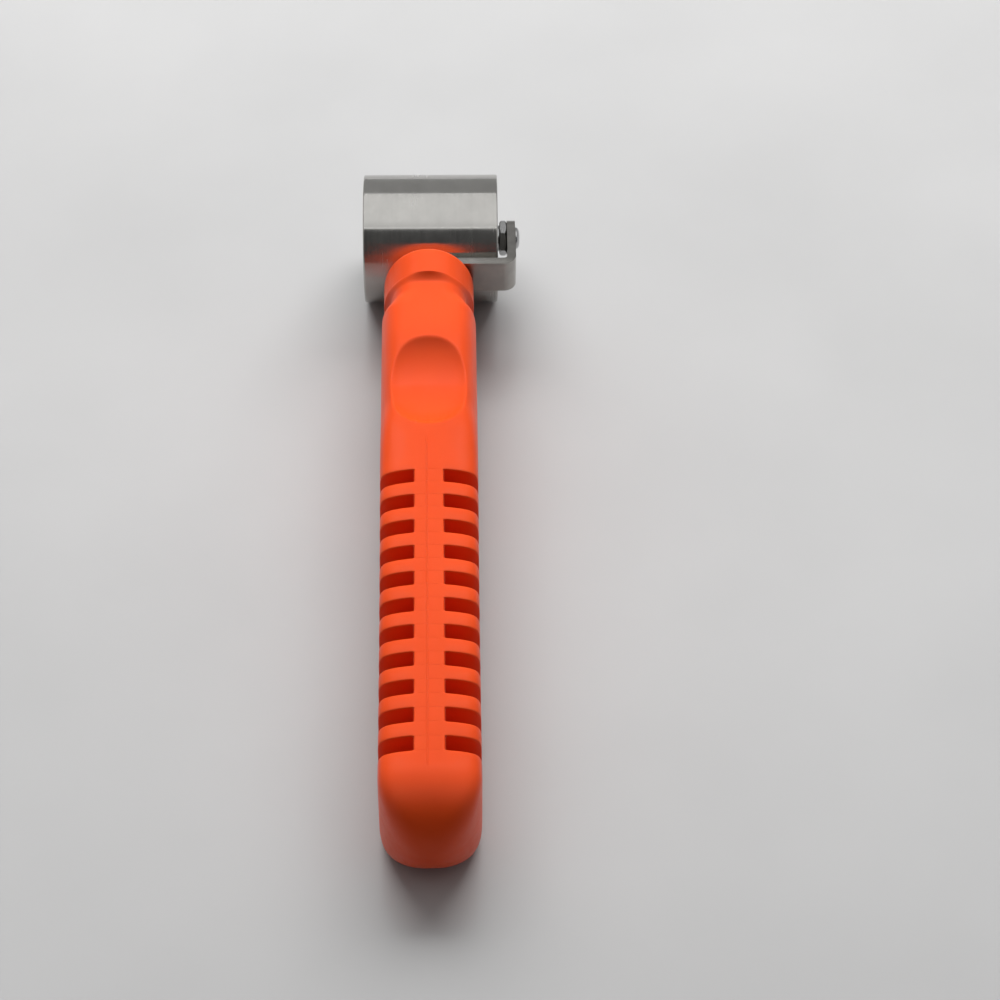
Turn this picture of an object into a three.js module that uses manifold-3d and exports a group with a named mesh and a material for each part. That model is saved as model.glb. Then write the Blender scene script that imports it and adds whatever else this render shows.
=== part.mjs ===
// Seam roller: a polished steel roller that runs on two ball bearings.  Its axle is held at one
// end only, by the ear of a bent steel strip whose tang is moulded into a ribbed plastic handle.
//
// Millimetres, +Z up.  The tool lies on a table, Z = 0, touching it with the roller and with the
// butt of the handle.  The roller axis is parallel to X, and the handle runs towards -Y.
// The origin is the middle of the tool's footprint on the table.
import * as THREE from 'three';
import { mergeVertices } from 'three/addons/utils/BufferGeometryUtils.js';
import Module from 'manifold-3d';

// Roller
const ROLLER_RADIUS = 15.35;
const ROLLER_WIDTH = 32;
const ROLLER_CHAMFER = 0.5;
const ROLLER_BORE = 5.9;

// Ball bearings, 4 x 13 x 5 mm
const BEARING_BORE = 2;
const BEARING_RADIUS = 6.5;
const BEARING_WIDTH = 5;
const BALL_RADIUS = 1.1;
const BALL_COUNT = 7;
const PITCH_RADIUS = 4.25;
const INNER_SHOULDER = 3.4;
const OUTER_SHOULDER = 5.1;
const OUTBOARD_RECESS = 2;
const INBOARD_RECESS = 0.6;

// Fits between turned pieces, measured on the radius
const RUNNING_GAP = 0.05;
const SEAT_GAP = 0.03;

// Bent strip that carries the axle
const STRIP_THICKNESS = 2;
const STRIP_HEIGHT = 9;
const STRIP_RISE = 4.2;
const STRIP_GAP = 0.4;
const EAR_GAP = 2.3;
const EAR_RADIUS = 4.25;
const EAR_BEND = 3;
const TANG_BEND = 2.5;
const TANG_LENGTH = 52;
const TANG_KEY_RADIUS = 1.8;
const TANG_KEYS = [16, 36];

// Axle and what is on it
const AXLE_RADIUS = BEARING_BORE - SEAT_GAP;
const HEAD_RADIUS = 2.6;
const HEAD_HEIGHT = 1.1;
const NUT_FLATS = 7.5;
const NUT_HEIGHT = 1.8;
const COLLAR_RADIUS = 3.1;
const WASHER_HEIGHT = 0.6;
const CLIP_HEIGHT = 0.6;
const CLIP_RADIUS = 4.4;
const GROOVE_RADIUS = 1.5;

// Handle
const HANDLE_START = 18.4;
const HANDLE_LENGTH = 160.2;
const HANDLE_TILT = THREE.MathUtils.degToRad(1.8);
const HANDLE_YAW = THREE.MathUtils.degToRad(0.29);
const HANDLE_X = -0.4;
const HANDLE_TOP = 30.7;
const HALF_WIDTH = 11;
const RIBBED_HALF_WIDTH = 10.72;
const TAPER_FROM = 36;
const TAPER_TO = 116;
const BOXY_FROM = 45;
const HALF_HEIGHT = 13.15;
const COLLAR_LENGTH = 7.9;
const COLLAR_STEP = 1.8;
const COLLAR_INSET = 0.4;
const COLLAR_ROUNDING = 1.3;
const NECK_INSET = 2.1;
const NECK_DROP = 1.3;
const NECK_END = 11.8;
const SHOULDER_AT = 17;
const CROWN_LEVELS_AT = 28;
const BUTT_ROUNDING = 14.5;
const ARCH_DROP = 2.1;
const NECK_POWER = 3;
const BODY_POWER = 3.6;
const RIBBED_POWER = 10;
const BUTT_POWER = 3;
const WEB_WIDTH = 6.44;
const SLOT_COUNT = 11;
const SLOT_PITCH = 7.09;
const SLOT_WIDTH = 3.5;
const FIRST_SLOT = 67.85;
const SCOOP_AT = 41.5;
const SCOOP_HALF_LENGTH = 15.75;
const SCOOP_HALF_WIDTH = 13.2;
const SCOOP_HALF_DEPTH = 8;
const SCOOP_DEPTH = 3.6;
const POCKET_GAP = 0.3;

// Fineness of the facets
const ROLLER_SIDES = 48;
const TURNED_SIDES = 32;
const HANDLE_SIDES = 40;

// Places worked out from the sizes above
const INNER_EAR = ROLLER_WIDTH / 2 + EAR_GAP;
const OUTER_EAR = INNER_EAR + STRIP_THICKNESS;
const LEG_BACK = -ROLLER_RADIUS - STRIP_GAP;
const LEG_FRONT = LEG_BACK - STRIP_THICKNESS;
const HANDLE_CENTRE = HANDLE_TOP - HALF_HEIGHT;
const BOX_X = (OUTER_EAR + HEAD_HEIGHT - ROLLER_WIDTH / 2) / 2;
const HANDLE_REACH = HANDLE_LENGTH * Math.cos(HANDLE_TILT) * Math.cos(HANDLE_YAW);
const BOX_Y = (ROLLER_RADIUS - HANDLE_START - HANDLE_REACH) / 2;
const OUTBOARD_BEARING = -ROLLER_WIDTH / 2 + OUTBOARD_RECESS + BEARING_WIDTH / 2;
const INBOARD_BEARING = ROLLER_WIDTH / 2 - INBOARD_RECESS - BEARING_WIDTH / 2;

const polished = { color: 0xc8c9cc, roughness: 0.12, metalness: 1 };
const zinc = { color: 0x9b9da0, roughness: 0.38, metalness: 1 };
const bearingSteel = { color: 0xb4b6ba, roughness: 0.2, metalness: 1 };
const orange = { color: 0xf4531f, roughness: 0.32, metalness: 0 };

const wasm = await Module();
wasm.setup();

function toSolid(geometry) {
  const bare = geometry.clone();
  bare.deleteAttribute('normal');
  bare.deleteAttribute('uv');
  const merged = mergeVertices(bare, 1e-4);
  const corners = [];
  for (let i = 0; i < merged.index.count; i += 3) {
    const [a, b, c] = [0, 1, 2].map((k) => merged.index.getX(i + k));
    if (a !== b && b !== c && c !== a) corners.push(a, b, c);
  }
  return new wasm.Manifold(new wasm.Mesh({
    numProp: 3,
    vertProperties: merged.attributes.position.array,
    triVerts: new Uint32Array(corners),
  }));
}

function toGeometry(solid) {
  const mesh = solid.getMesh();
  const geometry = new THREE.BufferGeometry();
  geometry.setAttribute('position', new THREE.BufferAttribute(mesh.vertProperties, 3));
  geometry.setIndex(new THREE.BufferAttribute(mesh.triVerts, 1));
  return geometry;
}

function named(name, geometry, finish) {
  const mesh = new THREE.Mesh(geometry, new THREE.MeshStandardMaterial(finish));
  mesh.name = name;
  return mesh;
}

// A closed ring or shaft, from the [radius, height] points of its half section.
function turned(points, sides = TURNED_SIDES) {
  return new THREE.LatheGeometry(points.map(([r, y]) => new THREE.Vector2(r, y)), sides);
}

function prism(shape, depth, curveSegments) {
  return new THREE.ExtrudeGeometry(shape, { depth, bevelEnabled: false, curveSegments });
}

// A plain ring between two radii, centred on height 0.
function ring(inner, outer, height) {
  const half = height / 2;
  return turned([[inner, -half], [outer, -half], [outer, half], [inner, half], [inner, -half]]);
}

// The points of a ball groove, centred on height 0, between two heights at its shoulder.
function groove(shoulder, from, to) {
  const radius = BALL_RADIUS + RUNNING_GAP;
  const depth = PITCH_RADIUS - shoulder;
  const half = Math.acos(Math.abs(depth) / radius);
  const steps = 4;
  const points = [];
  for (let i = 0; i <= steps; i += 1) {
    const angle = THREE.MathUtils.lerp(from, to, i / steps) * half;
    points.push([PITCH_RADIUS - Math.sign(depth) * radius * Math.cos(angle), radius * Math.sin(angle)]);
  }
  return points;
}

// ---- Roller and bearings, built along Y and then laid along X ----

function rollerShell() {
  const half = ROLLER_WIDTH / 2;
  const rim = ROLLER_RADIUS - ROLLER_CHAMFER;
  const seat = BEARING_RADIUS + SEAT_GAP / 2;
  const low = -half + OUTBOARD_RECESS + BEARING_WIDTH + RUNNING_GAP;
  const high = half - INBOARD_RECESS - BEARING_WIDTH - RUNNING_GAP;
  return turned([
    [seat, -half],
    [rim, -half],
    [ROLLER_RADIUS, -half + ROLLER_CHAMFER],
    [ROLLER_RADIUS, half - ROLLER_CHAMFER],
    [rim, half],
    [seat, half],
    [seat, high],
    [ROLLER_BORE, high],
    [ROLLER_BORE, low],
    [seat, low],
    [seat, -half],
  ], ROLLER_SIDES);
}

function outerRing() {
  const half = BEARING_WIDTH / 2;
  const outside = BEARING_RADIUS - SEAT_GAP;
  const shieldSeat = OUTER_SHOULDER + 0.5;
  const step = half - 0.55;
  return turned([
    [outside, -half],
    [outside, half],
    [shieldSeat, half],
    [shieldSeat, step],
    [OUTER_SHOULDER, step],
    ...groove(OUTER_SHOULDER, 1, -1),
    [OUTER_SHOULDER, -step],
    [shieldSeat, -step],
    [shieldSeat, -half],
    [outside, -half],
  ]);
}

function innerRing() {
  const half = BEARING_WIDTH / 2;
  return turned([
    [BEARING_BORE, -half],
    [INNER_SHOULDER, -half],
    ...groove(INNER_SHOULDER, -1, 1),
    [INNER_SHOULDER, half],
    [BEARING_BORE, half],
    [BEARING_BORE, -half],
  ]);
}

function shield() {
  return ring(INNER_SHOULDER + 0.15, OUTER_SHOULDER + 0.5 - SEAT_GAP, 0.3);
}

function ballPlace(index) {
  const angle = (index / BALL_COUNT) * 2 * Math.PI;
  return new THREE.Vector3(Math.cos(angle), 0, Math.sin(angle)).multiplyScalar(PITCH_RADIUS);
}

// A ring with one round pocket for each ball.
function cage() {
  let solid = toSolid(ring(PITCH_RADIUS - 0.35, PITCH_RADIUS + 0.35, 2.9));
  for (let i = 0; i < BALL_COUNT; i += 1) {
    const pocket = new THREE.IcosahedronGeometry(BALL_RADIUS + 0.12, 1);
    const { x, y, z } = ballPlace(i);
    solid = solid.subtract(toSolid(pocket.translate(x, y, z)));
  }
  return toGeometry(solid);
}

function bearing(name, place) {
  const group = new THREE.Group();
  group.position.y = place;
  group.add(named(`${name}_bearing_outer_ring`, outerRing(), bearingSteel));
  group.add(named(`${name}_bearing_inner_ring`, innerRing(), bearingSteel));
  group.add(named(`${name}_bearing_cage`, cage(), bearingSteel));
  for (const [side, sign] of [['left', -1], ['right', 1]]) {
    const plate = named(`${name}_bearing_${side}_shield`, shield(), bearingSteel);
    plate.position.y = sign * (BEARING_WIDTH / 2 - 0.3);
    group.add(plate);
  }
  for (let i = 0; i < BALL_COUNT; i += 1) {
    const sphere = new THREE.IcosahedronGeometry(BALL_RADIUS, 1);
    const ball = named(`${name}_bearing_ball_${i + 1}`, sphere, bearingSteel);
    ball.position.copy(ballPlace(i));
    group.add(ball);
  }
  return group;
}

// ---- Axle and fasteners, also built along Y ----

const CLIP_AT = OUTBOARD_BEARING - BEARING_WIDTH / 2 - WASHER_HEIGHT - CLIP_HEIGHT / 2;

function axle() {
  const end = -ROLLER_WIDTH / 2 + 0.15;
  const bevel = 0.35;
  const grooveHalf = CLIP_HEIGHT / 2 + RUNNING_GAP;
  const head = new THREE.Path();
  head.moveTo(HEAD_RADIUS, OUTER_EAR);
  head.lineTo(HEAD_RADIUS, OUTER_EAR + HEAD_HEIGHT * 0.45);
  head.quadraticCurveTo(HEAD_RADIUS, OUTER_EAR + HEAD_HEIGHT, HEAD_RADIUS * 0.45, OUTER_EAR + HEAD_HEIGHT);
  const dome = head.getPoints(4).map((point) => [point.x, point.y]);
  return turned([
    [0, end],
    [AXLE_RADIUS - bevel, end],
    [AXLE_RADIUS, end + bevel],
    [AXLE_RADIUS, CLIP_AT - grooveHalf],
    [GROOVE_RADIUS, CLIP_AT - grooveHalf],
    [GROOVE_RADIUS, CLIP_AT + grooveHalf],
    [AXLE_RADIUS, CLIP_AT + grooveHalf],
    [AXLE_RADIUS, OUTER_EAR],
    ...dome,
    [0, OUTER_EAR + HEAD_HEIGHT],
  ]);
}

function retainingClip() {
  const mouth = 0.55;
  const inside = GROOVE_RADIUS + RUNNING_GAP;
  const shape = new THREE.Shape();
  shape.absarc(0, 0, CLIP_RADIUS, mouth, 2 * Math.PI - mouth, false);
  shape.absarc(0, 0, inside, 2 * Math.PI - mouth, mouth, true);
  shape.closePath();
  return prism(shape, CLIP_HEIGHT, 14).translate(0, 0, -CLIP_HEIGHT / 2).rotateX(Math.PI / 2);
}

// A hexagon nut with its corners chamfered on both faces.
function lockNut() {
  const corner = NUT_FLATS / Math.sqrt(3);
  const half = NUT_HEIGHT / 2;
  const hexagon = new THREE.CylinderGeometry(corner, corner, NUT_HEIGHT, 6);
  const flat = NUT_FLATS / 2;
  const blank = turned([
    [AXLE_RADIUS + SEAT_GAP, -half],
    [flat, -half],
    [corner + 0.1, -half + 0.4],
    [corner + 0.1, half - 0.4],
    [flat, half],
    [AXLE_RADIUS + SEAT_GAP, half],
    [AXLE_RADIUS + SEAT_GAP, -half],
  ], 24);
  return toGeometry(toSolid(hexagon).intersect(toSolid(blank)));
}

function axleLine() {
  const line = new THREE.Group();
  line.position.set(0, 0, ROLLER_RADIUS);
  line.rotation.z = -Math.PI / 2;
  const outboardFace = OUTBOARD_BEARING - BEARING_WIDTH / 2;
  const inboardFace = INBOARD_BEARING + BEARING_WIDTH / 2;
  const betweenBearings = INBOARD_BEARING - OUTBOARD_BEARING - BEARING_WIDTH;
  const spacerMiddle = (OUTBOARD_BEARING + INBOARD_BEARING) / 2;
  const nutFace = INNER_EAR - NUT_HEIGHT;
  const shimMiddle = (nutFace + inboardFace) / 2;
  const pieces = [
    ['roller_shell', rollerShell(), polished, 0],
    ['axle', axle(), zinc, 0],
    ['bearing_spacer', ring(BEARING_BORE, COLLAR_RADIUS, betweenBearings), zinc, spacerMiddle],
    ['axle_shim', ring(BEARING_BORE, COLLAR_RADIUS, nutFace - inboardFace), zinc, shimMiddle],
    ['lock_nut', lockNut(), zinc, nutFace + NUT_HEIGHT / 2],
    ['end_washer', ring(BEARING_BORE, COLLAR_RADIUS, WASHER_HEIGHT), zinc, outboardFace - WASHER_HEIGHT / 2],
    ['retaining_clip', retainingClip(), zinc, CLIP_AT],
  ];
  for (const [name, geometry, finish, place] of pieces) {
    const mesh = named(name, geometry, finish);
    mesh.position.y = place;
    line.add(mesh);
  }
  line.add(bearing('outboard', OUTBOARD_BEARING));
  line.add(bearing('inboard', INBOARD_BEARING));
  return line;
}

// ---- Bent strip: tang, leg across the front of the roller, and ear with the axle hole ----

function stripPlan() {
  const half = STRIP_THICKNESS / 2;
  const tangEnd = -HANDLE_START - TANG_LENGTH;
  const earEnd = EAR_RADIUS + 1;
  const innerTangBend = TANG_BEND - STRIP_THICKNESS;
  const innerEarBend = EAR_BEND - STRIP_THICKNESS;
  const tangX = HANDLE_X;
  const shape = new THREE.Shape();
  shape.moveTo(tangX - half, tangEnd);
  shape.lineTo(tangX + half, tangEnd);
  const bendX = tangX + half + innerTangBend;
  shape.absarc(bendX, LEG_FRONT - innerTangBend, innerTangBend, Math.PI, Math.PI / 2, true);
  shape.absarc(OUTER_EAR - EAR_BEND, LEG_FRONT + EAR_BEND, EAR_BEND, -Math.PI / 2, 0, false);
  shape.lineTo(OUTER_EAR, earEnd);
  shape.lineTo(INNER_EAR, earEnd);
  shape.absarc(INNER_EAR - innerEarBend, LEG_BACK + innerEarBend, innerEarBend, 0, -Math.PI / 2, true);
  shape.absarc(tangX - half + TANG_BEND, LEG_BACK - TANG_BEND, TANG_BEND, Math.PI / 2, Math.PI, false);
  shape.closePath();
  return shape;
}

// Seen from the ear's side: height over distance from the axle, with the axle at 0, 0.
function stripSide() {
  const top = STRIP_RISE + STRIP_HEIGHT / 2;
  const bottom = STRIP_RISE - STRIP_HEIGHT / 2;
  const tangEnd = -HANDLE_START - TANG_LENGTH;
  const slope = Math.atan2(STRIP_RISE, -LEG_BACK);
  const shape = new THREE.Shape();
  shape.moveTo(tangEnd, bottom);
  shape.lineTo(LEG_BACK, bottom);
  shape.absarc(0, 0, EAR_RADIUS, -Math.PI / 2 - slope, Math.PI / 2 - slope, false);
  shape.lineTo(LEG_BACK, top);
  shape.lineTo(tangEnd, top);
  shape.closePath();
  const holes = [[0, 0, AXLE_RADIUS + SEAT_GAP]];
  const keyHole = TANG_KEY_RADIUS + POCKET_GAP;
  for (const place of TANG_KEYS) holes.push([-HANDLE_START - place, STRIP_RISE, keyHole]);
  for (const [x, y, radius] of holes) {
    const hole = new THREE.Path();
    hole.absarc(x, y, radius, 0, 2 * Math.PI, true);
    shape.holes.push(hole);
  }
  return shape;
}

function bracket() {
  const plan = prism(stripPlan(), 2 * ROLLER_RADIUS, 6);
  const side = prism(stripSide(), 2 * ROLLER_WIDTH, 14);
  side.rotateX(Math.PI / 2).rotateZ(Math.PI / 2).translate(-ROLLER_WIDTH, 0, ROLLER_RADIUS);
  return toGeometry(toSolid(plan).intersect(toSolid(side)));
}

// ---- Handle, built along -Y from the middle of its collar face ----

// The section at a distance from the collar face: its half width and half height, its squareness,
// which is 2 for an ellipse and grows towards a box, and how far its top is arched.
function section(along) {
  const { lerp, smoothstep } = THREE.MathUtils;
  if (along <= COLLAR_LENGTH) {
    const short = Math.max(COLLAR_ROUNDING - along, 0);
    const inset = COLLAR_ROUNDING - Math.sqrt(COLLAR_ROUNDING ** 2 - short ** 2);
    return {
      width: HALF_WIDTH - COLLAR_INSET - inset,
      height: HALF_HEIGHT - inset,
      power: 2,
      arch: 0,
    };
  }
  const boxy = smoothstep(along, BOXY_FROM, FIRST_SLOT);
  const body = lerp(HALF_WIDTH, RIBBED_HALF_WIDTH, smoothstep(along, TAPER_FROM, TAPER_TO));
  const neck = 1 - smoothstep(along, NECK_END, SHOULDER_AT);
  const crown = 1 - smoothstep(along, COLLAR_LENGTH, CROWN_LEVELS_AT);
  const butt = 1 - smoothstep(HANDLE_LENGTH - along, 0, BUTT_ROUNDING);
  return {
    width: body - NECK_INSET * neck,
    height: HALF_HEIGHT - NECK_DROP * crown,
    power: lerp(lerp(lerp(BODY_POWER, NECK_POWER, neck), RIBBED_POWER, boxy), BUTT_POWER, butt),
    arch: ARCH_DROP * boxy,
  };
}

// A signed power that is exactly 0 where the sine or cosine is only 0 to rounding.
function softened(value, power) {
  return Math.abs(value) < 1e-6 ? 0 : Math.sign(value) * Math.abs(value) ** power;
}

// The half outline of a blank that is 1 wide all along, but for its flat front and round butt.
function blankOutline() {
  const points = [[0, 0]];
  const roundingSteps = 4;
  for (let i = 0; i <= roundingSteps; i += 1) {
    const angle = (i / roundingSteps) * (Math.PI / 2);
    points.push([1, COLLAR_ROUNDING * (1 - Math.cos(angle))]);
  }
  const marks = [COLLAR_LENGTH, COLLAR_LENGTH + COLLAR_STEP, NECK_END, SHOULDER_AT, CROWN_LEVELS_AT];
  marks.push(TAPER_FROM, BOXY_FROM, FIRST_SLOT, TAPER_TO, HANDLE_LENGTH - BUTT_ROUNDING);
  marks.slice(1).forEach((end, i) => {
    const rings = Math.min(Math.ceil((end - marks[i]) / 2), 4);
    for (let k = 0; k < rings; k += 1) points.push([1, THREE.MathUtils.lerp(marks[i], end, k / rings)]);
  });
  points.push([1, marks.at(-1)]);
  const steps = 10;
  for (let i = 1; i < steps; i += 1) {
    const angle = (i / steps) * (Math.PI / 2);
    points.push([Math.cos(angle), HANDLE_LENGTH - BUTT_ROUNDING * (1 - Math.sin(angle))]);
  }
  points.push([0, HANDLE_LENGTH]);
  return points.map(([radius, along]) => new THREE.Vector2(radius, -along));
}

// The blank, turned and then reshaped to the section at each of its points.
function handleSkin() {
  const blank = new THREE.LatheGeometry(blankOutline().reverse(), HANDLE_SIDES);
  const position = blank.attributes.position;
  for (let i = 0; i < position.count; i += 1) {
    const radius = Math.hypot(position.getX(i), position.getZ(i));
    const angle = Math.atan2(position.getZ(i), position.getX(i));
    const { width, height, power, arch } = section(-position.getY(i));
    const [c, s] = [Math.cos(angle), Math.sin(angle)].map((v) => softened(v, 2 / power));
    const arched = s > 0 ? 1 - (arch / HALF_HEIGHT) * (radius * c) ** 2 : 1;
    position.setX(i, width * radius * c);
    position.setZ(i, height * radius * s * arched);
  }
  return blank;
}

function slotCutters() {
  const cutters = [];
  const depth = HALF_WIDTH;
  for (let i = 0; i < SLOT_COUNT; i += 1) {
    for (const side of [-1, 1]) {
      const cutter = new THREE.BoxGeometry(depth, SLOT_WIDTH, 3 * HALF_HEIGHT);
      const along = FIRST_SLOT + i * SLOT_PITCH + SLOT_WIDTH / 2;
      cutters.push(toSolid(cutter.translate(side * (WEB_WIDTH + depth) / 2, -along, 0)));
    }
  }
  return cutters;
}

function thumbScoop() {
  const scoop = new THREE.SphereGeometry(1, 40, 28);
  scoop.scale(SCOOP_HALF_WIDTH, SCOOP_HALF_LENGTH, SCOOP_HALF_DEPTH);
  return toSolid(scoop.translate(0, -SCOOP_AT, HALF_HEIGHT - SCOOP_DEPTH + SCOOP_HALF_DEPTH));
}

// The space that the tang fills, less the two plastic keys that pass through its holes.
function tangPocket(toHandle) {
  const length = TANG_LENGTH + POCKET_GAP + 1;
  const width = STRIP_THICKNESS + 2 * POCKET_GAP;
  const box = new THREE.BoxGeometry(width, length, STRIP_HEIGHT + 2 * POCKET_GAP);
  const middle = -HANDLE_START - length / 2 + 1;
  box.translate(HANDLE_X, middle, ROLLER_RADIUS + STRIP_RISE).applyMatrix4(toHandle);
  let pocket = toSolid(box);
  for (const place of TANG_KEYS) {
    const key = new THREE.CylinderGeometry(TANG_KEY_RADIUS, TANG_KEY_RADIUS, 2 * width, 14);
    key.rotateZ(Math.PI / 2);
    key.translate(HANDLE_X, -HANDLE_START - place, ROLLER_RADIUS + STRIP_RISE).applyMatrix4(toHandle);
    pocket = pocket.subtract(toSolid(key));
  }
  return pocket;
}

function handle() {
  const mesh = named('handle', new THREE.BufferGeometry(), orange);
  mesh.position.set(HANDLE_X, -HANDLE_START, HANDLE_CENTRE);
  mesh.rotation.set(HANDLE_TILT, 0, HANDLE_YAW, 'ZYX');
  mesh.updateMatrix();
  const toHandle = mesh.matrix.clone().invert();
  const table = new THREE.BoxGeometry(4 * HALF_WIDTH, 2 * HANDLE_LENGTH, HALF_HEIGHT);
  table.translate(0, -HANDLE_LENGTH, -HALF_HEIGHT / 2).applyMatrix4(toHandle);
  let solid = toSolid(handleSkin());
  const cuts = [...slotCutters(), thumbScoop(), tangPocket(toHandle), toSolid(table)];
  for (const cut of cuts) solid = solid.subtract(cut);
  mesh.geometry = toGeometry(solid);
  return mesh;
}

const seamRoller = new THREE.Group();
const tool = new THREE.Group();
tool.position.set(-BOX_X, -BOX_Y, 0);
tool.add(axleLine(), named('bracket', bracket(), zinc), handle());
seamRoller.add(tool);

export default seamRoller;
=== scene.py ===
"""A seam roller lying on a pale table: polished steel roller, bent steel arm, ribbed plastic handle.

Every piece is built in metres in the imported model's frame, from the boxes of its nodes.
Lengths written with MM are millimetres.
"""

import math
from collections import namedtuple

import bmesh
import bpy
import numpy as np
from mathutils import Matrix, Vector


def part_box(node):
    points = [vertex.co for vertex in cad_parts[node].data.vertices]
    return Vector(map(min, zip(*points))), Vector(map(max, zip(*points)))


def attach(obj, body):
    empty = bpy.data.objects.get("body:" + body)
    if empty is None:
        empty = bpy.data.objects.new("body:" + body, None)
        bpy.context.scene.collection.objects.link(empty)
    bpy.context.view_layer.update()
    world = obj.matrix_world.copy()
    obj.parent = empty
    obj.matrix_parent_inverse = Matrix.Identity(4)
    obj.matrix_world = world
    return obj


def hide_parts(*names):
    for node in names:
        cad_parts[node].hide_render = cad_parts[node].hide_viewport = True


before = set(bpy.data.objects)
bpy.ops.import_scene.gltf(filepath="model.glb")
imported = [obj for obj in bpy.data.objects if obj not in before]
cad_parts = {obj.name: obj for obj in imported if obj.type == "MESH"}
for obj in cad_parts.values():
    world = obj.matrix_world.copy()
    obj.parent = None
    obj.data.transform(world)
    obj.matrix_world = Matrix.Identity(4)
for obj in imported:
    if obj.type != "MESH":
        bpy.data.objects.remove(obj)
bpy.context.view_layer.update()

MM = 0.001

# The camera stands AWAY metres from AIM and looks at it, through a lens of LENS millimetres.
ELEVATION = math.radians(48.7)
AZIMUTH = math.radians(1.1)
ROLL = math.radians(-0.5)
AWAY = 0.667
AIM = Vector((0.0132, 0.0107, 0.0))
LENS = 104.4

# Light: radiances, and the height and bright edges of the overhead panel in metres
SOFTBOX_HEIGHT = 0.9
SOFTBOX_RADIANCE = 0.68
RIM_GLOW = 1.9
RIM_DEPTH = 0.035
KEY_RADIANCE = 6.9
ROOM_FRONT = 0.06
ROOM_SIDE = 0.45
ROOM_BACK = 0.36
ROOM_TOP = 0.36

# Handle, in millimetres along its own axis from the collar face
HANDLE_X = -3.1
HANDLE_TILT = math.radians(1.8)
HANDLE_YAW = math.radians(0.29)
HANDLE_LENGTH = 160.1
HALF_WIDTH = 10.97
RIBBED_HALF_WIDTH = 10.69
HALF_HEIGHT = 13.1
COLLAR_LENGTH = 7.9
COLLAR_INSET = 0.4
COLLAR_ROUNDING = 1.3
NECK_INSET = 2.1
NECK_DROP = 1.3
NECK_END = 11.8
SHOULDER_AT = 17.0
CROWN_LEVELS_AT = 28.0
COLLAR_STEP = 2.2
TAPER_FROM = 36.0
TAPER_TO = 116.0
BOXY_FROM = 45.0
BUTT_ROUNDING = 14.5
ARCH_DROP = 2.1
COLLAR_POWER = 2.0
NECK_POWER = 3.0
BODY_POWER = 3.6
RIBBED_POWER = 10.0
BUTT_POWER = 3.0
WEB_HALF = 3.22
SLOT_COUNT = 11
SLOT_PITCH = 7.09
SLOT_WIDTH = 3.5
FIRST_SLOT = 67.85
SCOOP_AT = 41.5
SCOOP_HALF_LENGTH = 15.75
SCOOP_HALF_WIDTH = 13.2
SCOOP_HALF_DEPTH = 8.0
SCOOP_DEPTH = 3.6
SCOOP_EDGE = 0.35
PARTING_X = -0.4
PARTING_HEIGHT = 0.2
EDGE = 0.3
RING_GAP = 0.8


# ---------------------------------------------------------------- mesh helpers


def smoothstep(low, high, value):
    t = np.clip((np.asarray(value, float) - low) / (high - low), 0.0, 1.0)
    return t * t * (3 - 2 * t)


def arc(centre, radius, start, end, steps):
    """Points of a circular arc, with its angles in degrees."""
    angles = np.radians(np.linspace(start, end, steps + 1))
    return [(centre[0] + radius * math.cos(a), centre[1] + radius * math.sin(a)) for a in angles]


def new_piece(name, node, verts, faces, material, body, sharp=None):
    """A smooth-shaded mesh, in millimetres, that stands for a CAD node and rides on its body."""
    mesh = bpy.data.meshes.new(name)
    mesh.from_pydata((np.asarray(verts, float) * MM).tolist(), [], faces)
    mesh.validate()
    mesh.update()
    piece = bpy.data.objects.new(name, mesh)
    bpy.context.scene.collection.objects.link(piece)
    mesh.shade_smooth()
    mesh.materials.append(material)
    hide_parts(node)
    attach(piece, body)
    if sharp is not None:
        mesh.set_sharp_from_angle(angle=math.radians(sharp))
    return piece


def apply_modifiers(piece):
    """Leaves the piece with the mesh that its modifiers make, and no modifiers."""
    graph = bpy.context.evaluated_depsgraph_get()
    mesh = bpy.data.meshes.new_from_object(piece.evaluated_get(graph))
    piece.modifiers.clear()
    piece.data = mesh


def weight_normals(piece):
    modifier = piece.modifiers.new("weighted", "WEIGHTED_NORMAL")
    modifier.keep_sharp = True
    modifier.weight = 80
    apply_modifiers(piece)


def bevel(piece, width, segments=3, angle=35.0):
    modifier = piece.modifiers.new("bevel", "BEVEL")
    modifier.width = width * MM
    modifier.segments = segments
    modifier.limit_method = "ANGLE"
    modifier.angle_limit = math.radians(angle)
    modifier.harden_normals = False
    modifier.use_clamp_overlap = True
    apply_modifiers(piece)


def grid_faces(rows, columns, closed_rows=False):
    """Quads between neighbouring rows of points, each row a closed loop of columns points."""
    faces = []
    last = rows if closed_rows else rows - 1
    for r in range(last):
        below, above = r * columns, ((r + 1) % rows) * columns
        for c in range(columns):
            n = (c + 1) % columns
            faces.append((below + c, below + n, above + n, above + c))
    return faces


def lathe(profile, centre, steps=160, solid=False):
    """Turns (along, radius) points round a line parallel to X through centre = (x, y, z).

    The profile runs clockwise with along to the right and radius up, so that faces point out.
    It closes on itself, or with solid it starts and ends on the axis.
    """
    rings = profile[1:-1] if solid else profile
    angles = np.linspace(0, 2 * math.pi, steps, endpoint=False)
    verts = []
    for along, radius in rings:
        for a in angles:
            across, up = radius * math.cos(a), radius * math.sin(a)
            verts.append((centre[0] + along, centre[1] + across, centre[2] + up))
    faces = grid_faces(len(rings), steps, closed_rows=not solid)
    if solid:
        for end, row, flip in ((profile[0], 0, True), (profile[-1], len(rings) - 1, False)):
            verts.append((centre[0] + end[0], centre[1], centre[2]))
            tip = len(verts) - 1
            for c in range(steps):
                pair = (row * steps + c, row * steps + (c + 1) % steps)
                faces.append((pair[1], pair[0], tip) if flip else (pair[0], pair[1], tip))
    return verts, faces


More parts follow.
